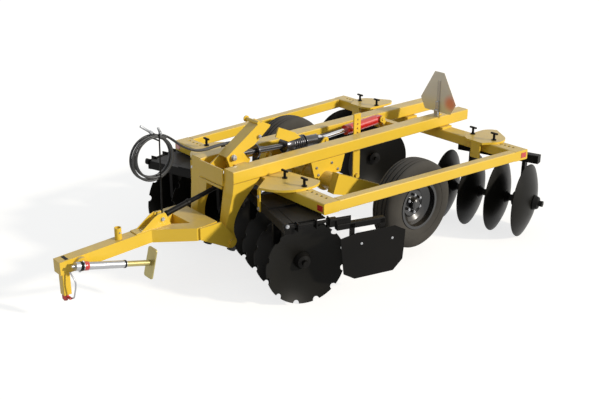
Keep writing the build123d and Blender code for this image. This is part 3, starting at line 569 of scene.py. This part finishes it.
def gang_point(gang, side, a, b, c):
    """A point beside a gang: a along its shaft outwards, b towards the rear, c above it."""
    middle, (x, y) = gangs[gang]
    place = middle + Vector((x, y, 0)) * a + Vector((-y, x, 0)) * b + Vector((0, 0, c))
    return at(side * place.x, place.y, place.z)


for gang in gangs:
    left = gang_point(gang, 1, 0, 0, 0)
    print(gang, "gang's middle on the left", tuple(round(value, 3) for value in left))

# %% [markdown]
# ## Bolts of the gangs
# Bolt heads sit where two parts are clamped together: on the face of the front gang's frame, on
# the deflector's plate and round the blade bearings. Heads this small never need their thread, so
# a washer and a beveled hexagon are enough, and tables say where each one sits.

# %% Gang bolts
BEARING_BOLTS = ((52, -30), (52, 34), (-52, -26))      # towards the rear and up, from the shaft
for side, name in ((1, "left"), (-1, "right")):
    out = gang_out("front", side)
    forwards = Vector((out.y * side, -out.x * side, 0))
    rows = [(gang_point("front", side, -51, -218, c), forwards, 12) for c in (330, 430)]
    rows += [(gang_point("front", side, 487, b, c), out, 11) for b, c in ((406, 151), (670, 153))]
    rows.append((gang_point("front", side, 483, -197, 385), out, 12))
    bolts(f"{name}_front_gang_bolts", "frame", "zinc", rows)

    for gang, behind, places in (("front", -1, (-299, 209)), ("rear", 1, (-209, 299))):
        bolts(f"{name}_{gang}_bearing_bolts", "frame", "zinc", [
            (gang_point(gang, side, a + 15, behind * b, c), gang_out(gang, side), 7)
            for a in places for b, c in BEARING_BOLTS])

# %% [markdown]
# ## Bolts of the frame
# The cross beams have a row of spare holes for setting the gangs, the mast has its two pins and the
# lift axle hangs in bolted brackets. The holes are too small for a boolean cut to be worth its
# triangles, so thin black discs stand in their mouths as painted shade and read as depth.

# %% Frame bolts
HOLE_TOP = 808
holes = [(695 + 55 * i, -330) for i in range(5)] + [(935 + 44 * i, 1743) for i in range(4)]
# painted shade: black discs in the hole mouths stand for the unlit insides of the holes
own(join([rod(at(side * x, y, HOLE_TOP), (0, 0, 1), 12, 4, 20) for x, y in holes
          for side in (1, -1)]),
    "hole_shadows", "frame", "black_paint")
bolts("mast_bolt", "frame", "zinc", [
    (at(70, -563, 965), (1, 0, 0), 21),
    (at(70, -298, 1090), (1, 0, 0), 13),
])
AXLE_Y = 240
bolts("axle_bearing_bolts", "frame", "zinc", [
    (at(side * 285.5, AXLE_Y + y, z), (side, 0, 0), 10)
    for side in (1, -1) for y, z in ((-110, 780), (60, 790), (130, 720), (-90, 712))
])

# %% [markdown]
# ## Soil deflectors
# Outside the last front blade of each gang a round bar runs back to a square tube, and the tube
# carries a flat plate that catches the thrown soil. A plate like this is cut from sheet, so it is
# modelled in that way: the outline is one face, Solidify gives it the sheet's thickness and Bevel
# breaks its edges. A black plate closes the top of the gang's frame.


# %% Deflectors
DEFLECTOR = [(228, 214), (366, 243), (694, 251), (786, 203), (777, 42), (770, -44), (689, -129),
             (355, -139), (261, -85)]      # the plate's corners: towards the rear, and up


def plate(points, thickness, bevel=1.0):
    """A flat plate from its corners, grown behind its face by a thickness in mm."""
    mesh = bpy.data.meshes.new("plate")
    mesh.from_pydata([tuple(point) for point in points], [], [tuple(range(len(points)))])
    sheet = bpy.data.objects.new("plate", mesh)
    scene.collection.objects.link(sheet)
    select_only(sheet)
    modify(sheet, "SOLIDIFY", thickness=thickness * MM, offset=-1)
    modify(sheet, "BEVEL", width=bevel * MM, limit_method="ANGLE")
    return sheet


def gang_block(side, place, size, bevel=2.0):
    """A block that stands square to a front gang, at a place as gang_point takes it."""
    piece = box(Vector((0, 0, 0)), size, bevel)
    piece.rotation_euler = gang_out("front", side).to_track_quat("X", "Z").to_euler()
    piece.location = gang_point("front", side, *place)
    return piece


for side, name in ((1, "left"), (-1, "right")):
    out = gang_out("front", side)
    rearwards = gang_point("front", side, 0, 1, 0) - gang_point("front", side, 0, 0, 0)
    corners = [gang_point("front", side, 487, b, c) for b, c in DEFLECTOR]
    if side < 0:
        corners.reverse()
    parts = [plate(corners, 6)]
    for place, size, bevel in (
            ((456, 408, 306), (50, 408, 50), 6),        # the square tube
            ((470, 262, 340), (8, 120, 96), 2),         # the plate that joins it to the bar
            ((478, 330, 232), (6, 44, 180), 1),         # two straps down to the deflector
            ((478, 590, 232), (6, 44, 180), 1)):
        parts.append(gang_block(side, place, size, bevel))
    parts.append(rod(gang_point("front", side, 468, -197, 372), rearwards, 13, 500))
    parts.append(rod(gang_point("front", side, 447, -197, 372), out, 26, 36, bevel=2))
    for b in (-170, 170):                               # the blocks that hold the bar
        parts.append(gang_block(side, (446, b, 346), (32, 76, 72)))
    for b in (-116, 32, 140):                           # its clips
        parts.append(gang_block(side, (468, b, 366), (62, 9, 66), 1))
    piece = own(join(parts), f"{name}_deflector", "frame", "black_paint")
    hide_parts("deflectors", "deflector_bars")
    own(gang_block(side, (246, 0, 380), (368, 262, 8), 1), f"{name}_gang_top_plate", "frame",
        "black_paint")

# %% [markdown]
# ## Levelling spring
# The link from mast to lift axle keeps the machine level while it is raised, and a coil spring
# between two seats takes its knocks. A spring is one wire, so it is one curve along a helix with a
# round section. A screw modifier would do too, but a curve can lie along any direction at once.

# %% Levelling spring
LINK_FRONT, LINK_REAR = Vector((0, -563, 965)), Vector((0, 430, 908))
SPRING_START = 656                   # from the link's front pin
SPRING_TURNS, SPRING_PITCH = 6, 21
WIRE_R, SPRING_R = 10, 55
SEAT_R, SEAT_SIDES = 64, 40

link_way = (LINK_REAR - LINK_FRONT).normalized()
link_start = at(*LINK_FRONT) + link_way * SPRING_START * MM
side_way = Vector((1, 0, 0))
up_way = side_way.cross(link_way)
helix = []
for step in range(SPRING_TURNS * 12 + 1):
    angle = 2 * pi * step / 12
    helix.append(link_start + link_way * SPRING_PITCH * MM * step / 12
                 + (side_way * cos(angle) + up_way * sin(angle)) * SPRING_R * MM)
coil = thicken(curve_through("levelling_coil", helix, 3), WIRE_R, 2)
coil = own(coil, "levelling_coil", "link", "link_metal")
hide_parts("levelling_spring")
own(join([rod(link_start - link_way * 92 * MM, link_way, SEAT_R, 92, SEAT_SIDES, bevel=4),
          rod(link_start + link_way * (SPRING_TURNS * SPRING_PITCH + 2) * MM, link_way, SEAT_R, 10,
              SEAT_SIDES, bevel=2)]),
    "spring_seats", "link", "link_metal")

# %% [markdown]
# ## Turnbuckle
# The tongue is held at its angle by a turnbuckle: a long sleeve with a nut at each end that is
# screwed in or out to level the machine. Three bars on one axis are all it takes.

# %% Turnbuckle
STRUT_FRONT, STRUT_REAR = Vector((0, -1234, 610)), Vector((0, -500, 770))
strut_way = (STRUT_REAR - STRUT_FRONT).normalized()
strut_start = at(*STRUT_FRONT)
own(join([rod(strut_start + strut_way * start * MM, strut_way, radius, length, 28, bevel=1.5)
          for start, radius, length in ((284, 19, 330), (604, 24, 20), (58, 25, 18))]),
    "turnbuckle_sleeve", "strut", "black_paint")

# %% [markdown]
# ## Plates of the frame
# A web closes the gap between the two front posts, each rear hanger has a face plate, and a cheek
# stands beside the spring. Web and cheek have an outline of their own, so the plate function serves
# again. The face plates are plain rectangles, for which a block does.

# %% Plates
WEB_Y, WEB = -744, [(-158, 788), (158, 788), (158, 768), (62, 768), (-44, 768), (-64, 668),
                    (-158, 640)]
CHEEK_X, CHEEK = 38, [(-116, 1040), (-83, 1120), (90, 1043), (156, 985), (20, 975)]
own(plate([at(x, WEB_Y, z) for x, z in WEB], 12), "post_web", "frame", "yellow_paint")
for x, name in ((773, "left_rear_hanger_plate"), (-773, "right_rear_hanger_plate")):
    own(box(at(x, 1597, 747), (102, 14, 138)), name, "frame", "yellow_paint")
own(plate([at(CHEEK_X, y, z) for y, z in CHEEK], 14), "spring_cheek", "link", "yellow_paint")

# %% [markdown]
# ## Tongue
# A stiffening plate and two gussets stand where the lugs are welded on, a pipe stands on the tube
# as a socket, and a thin black sheet across its nose is painted shade for a slot. The tube rises
# towards its rear, so a function gives the height of its top. The pipe is a cylinder without ends,
# and Solidify gives it a wall.


# %% Tongue
NOSE_Y, NOSE_TOP = -2108, 505        # the top of the tube at its nose
TAIL_Y, TAIL_TOP = -1340, 548        # and where the lugs begin
GUSSET = ((-1432, 549), (-1306, 640), (-1266, 656), (-1204, 650), (-1160, 549))
SOCKET_Y, SOCKET_R, SOCKET_LENGTH = -1600, 27, 92
rise = (TAIL_TOP - NOSE_TOP) / (TAIL_Y - NOSE_Y)


def tongue_top(y):
    """The height of the tongue's top at a place along it, in mm."""
    return NOSE_TOP + rise * (y - NOSE_Y)


def on_tongue(piece, y, above):
    """Lays a piece along the sloping top of the tongue, a little above it."""
    piece.rotation_euler = (rise, 0, 0)
    piece.location = at(0, y, tongue_top(y) + above)
    return piece


parts = [on_tongue(box(Vector((0, 0, 0)), (96, 150, 9), 2), -1396, 4)]
parts += [plate([at(x, y, z) for y, z in GUSSET], 5) for x in (-34.3, 39.3)]
bpy.ops.object.select_all(action="DESELECT")
bpy.ops.mesh.primitive_cylinder_add(vertices=32, radius=SOCKET_R * MM, depth=SOCKET_LENGTH * MM,
                                    end_fill_type="NOTHING")
socket = bpy.context.object
socket.location = at(0, SOCKET_Y, tongue_top(SOCKET_Y) + SOCKET_LENGTH / 2)
modify(socket, "SOLIDIFY", thickness=6 * MM)
bpy.ops.object.shade_smooth_by_angle(angle=SMOOTH)
parts.append(socket)
own(join(parts), "tongue_gussets", "drawbar", "yellow_paint")
# painted shade: a thin black sheet on the nose stands for the dark inside of a slot
own(on_tongue(box(Vector((0, 0, 0)), (78, 26, 1.2), 0.3), -2044, 0.4), "tongue_slot_shade", "drawbar",
    "black_paint")
bolts("tongue_bolts", "drawbar", "zinc", [
    (at(40, -1234, 610), (1, 0, 0), 17),
    (at(27, SOCKET_Y, 590), (1, 0, 0), 5),
])

# %% [markdown]
# ## Hose rack
# The hoses hang on a thin rod that leans a little and has one peg. Both are bars, joined into one
# piece, and they take the place of the thicker rack of the CAD.

# %% Hose rack
rack_foot, rack_head = at(25, -1225, 652), at(18, -1206, 1284)
rack_way = rack_head - rack_foot
rack = rod(rack_foot, rack_way, 6, rack_way.length * 1000, 16)
peg = rod(at(24, -1219, 1234), (-1, 0, 0), 6, 86, 16, bevel=1)
rack = own(join([rack, peg]), "hose_hanger", "drawbar", "black_paint")
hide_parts("hose_rack")

# %% [markdown]
# ## Wheel nuts
# Each wheel disc is held by six nuts on a six inch circle. One bolt head is repeated round it by
# its angle. The nuts turn with the wheel, so they ride on its body and not on the frame.

# %% Wheel nuts
NUT_FACE, NUT_CIRCLE_R = 853.3, 76.2
for side, name in ((1, "left"), (-1, "right")):
    rows = []
    for angle in (radians(30 + 60 * i) for i in range(6)):
        nut = at(side * NUT_FACE, WHEEL[1] + NUT_CIRCLE_R * cos(angle),
                 WHEEL[2] + NUT_CIRCLE_R * sin(angle))
        rows.append((nut, (side, 0, 0), 11))
    bolts(f"{name}_wheel_nuts", f"wheel_{name}", "zinc", rows)

# %% [markdown]
# ## Sign
# The sign shows its bare back: brushed aluminium that picks up the yellow of the frame near its
# foot and something red on one side. A true mirror would need the whole yard around it, so both
# reflections are painted into its colour: one by height, one by the distance from a point on the
# sheet. Its base colour is painted lighter too, as painted reflected light on a face in shade.


# %% Sign
def cast(tree, value, start, full, share, color, under):
    """Paints a reflection: lays a colour over another one where a value goes from start to full."""
    ramp = add(tree, "ShaderNodeMapRange", {"From Min": start, "From Max": full, "To Max": share})
    ramp.interpolation_type = "SMOOTHSTEP"
    tree.links.new(value, ramp.inputs["Value"])
    return blend(tree, ramp.outputs["Result"], under, color)


# painted reflected light: the sign's base is lighter than bare aluminium, though its face is in
# shade
sign_reflection_finish = finish("sign_aluminium_painted_reflections", (0.92, 0.85, 0.68), (0.66, 0.60, 0.47), 0.4, metallic=0.1,
                     grain=70.0)
tree = sign_reflection_finish.node_tree
place = add(tree, "ShaderNodeTexCoord")
height = add(tree, "ShaderNodeSeparateXYZ")
tree.links.new(place.outputs["Object"], height.inputs["Vector"])
red_reflection_spot = add(tree, "ShaderNodeVectorMath")
red_reflection_spot.operation = "DISTANCE"
red_reflection_spot.inputs[1].default_value = at(370, 1692, 1075)
tree.links.new(place.outputs["Object"], red_reflection_spot.inputs[0])
base_color = tree.nodes["Principled BSDF"].inputs["Base Color"]
color = base_color.links[0].from_socket
# painted reflections: the frame's yellow by height near the foot, and red round a spot on the sheet
color = cast(tree, height.outputs["Z"], 1.14, 0.99, 0.5, (0.85, 0.66, 0.16), color)
color = cast(tree, red_reflection_spot.outputs["Value"], 0.10, 0.02, 0.8, (0.90, 0.20, 0.06), color)
tree.links.new(color, base_color)
for slot in frame["nodes"]["warning_sign"].material_slots:
    slot.material = sign_reflection_finish

own(box(at(226, 1688.5, 1126), (34, 5, 272), 1.5), "sign_strap", "frame", "bare_aluminium")
own(join([box(at(226, 1678, 1030), (40, 16, 84), 4), box(at(226, 1672, 952), (44, 26, 78), 4)]),
    "sign_clamp", "frame", "zinc")

# %% [markdown]
# ## Hitch
# A bent zinc handle hangs beside the hitch post, and a red knob and tab mark the pin. The handle is
# round wire bent by hand, so a curve through a few points gives its uneven bow better than joined
# straight bars would.

# %% Hitch
handle_points = [(70, -2046, 420), (100, -2036, 385), (118, -2030, 350), (108, -2030, 300),
                 (92, -2034, 250), (78, -2036, 206), (50, -2040, 200)]
handle = curve_through("hitch_handle", [at(*place) for place in handle_points], 12)
own(thicken(handle, 6, 3), "hitch_handle", "drawbar", "zinc")
knob = rod(at(0, -2066, 186), (0, 0, 1), 25, 39, 32, bevel=6)
tab = box(at(38, -2052, 202), (44, 22, 14), 4)
own(join([knob, tab]), "hitch_knob", "drawbar", "red_paint")

# %% [markdown]
# ## Jack
# The jack lies stowed along the tongue and slopes down to the rear. It has a red band, a black
# collar at each end of its tube and two bolts in its head. They ride on the jack, because it swings
# down when the machine is parked.

# %% Jack
JACK_SLOPE = radians(14.5)
jack_way = Vector((0, cos(JACK_SLOPE), -sin(JACK_SLOPE)))
jack_head = at(120, -1992, 470)


def jack_ring(start, radius, length):
    """A ring round the jack's tube, counted from its head, in mm."""
    return rod(jack_head + jack_way * start * MM, jack_way, radius, length, 32, bevel=1.0)


own(jack_ring(34, 34, 34), "jack_red_band", "jack", "red_paint")
own(join([jack_ring(2, 35, 22), jack_ring(366, 31, 14)]), "jack_collars", "jack", "black_paint")
bolts("jack_bolts", "jack", "zinc", [
    (at(120, -1960, 491), (0, 0.25, 1), 10),
    (at(120, -1990, 434), (0, -0.25, -1), 10),
])
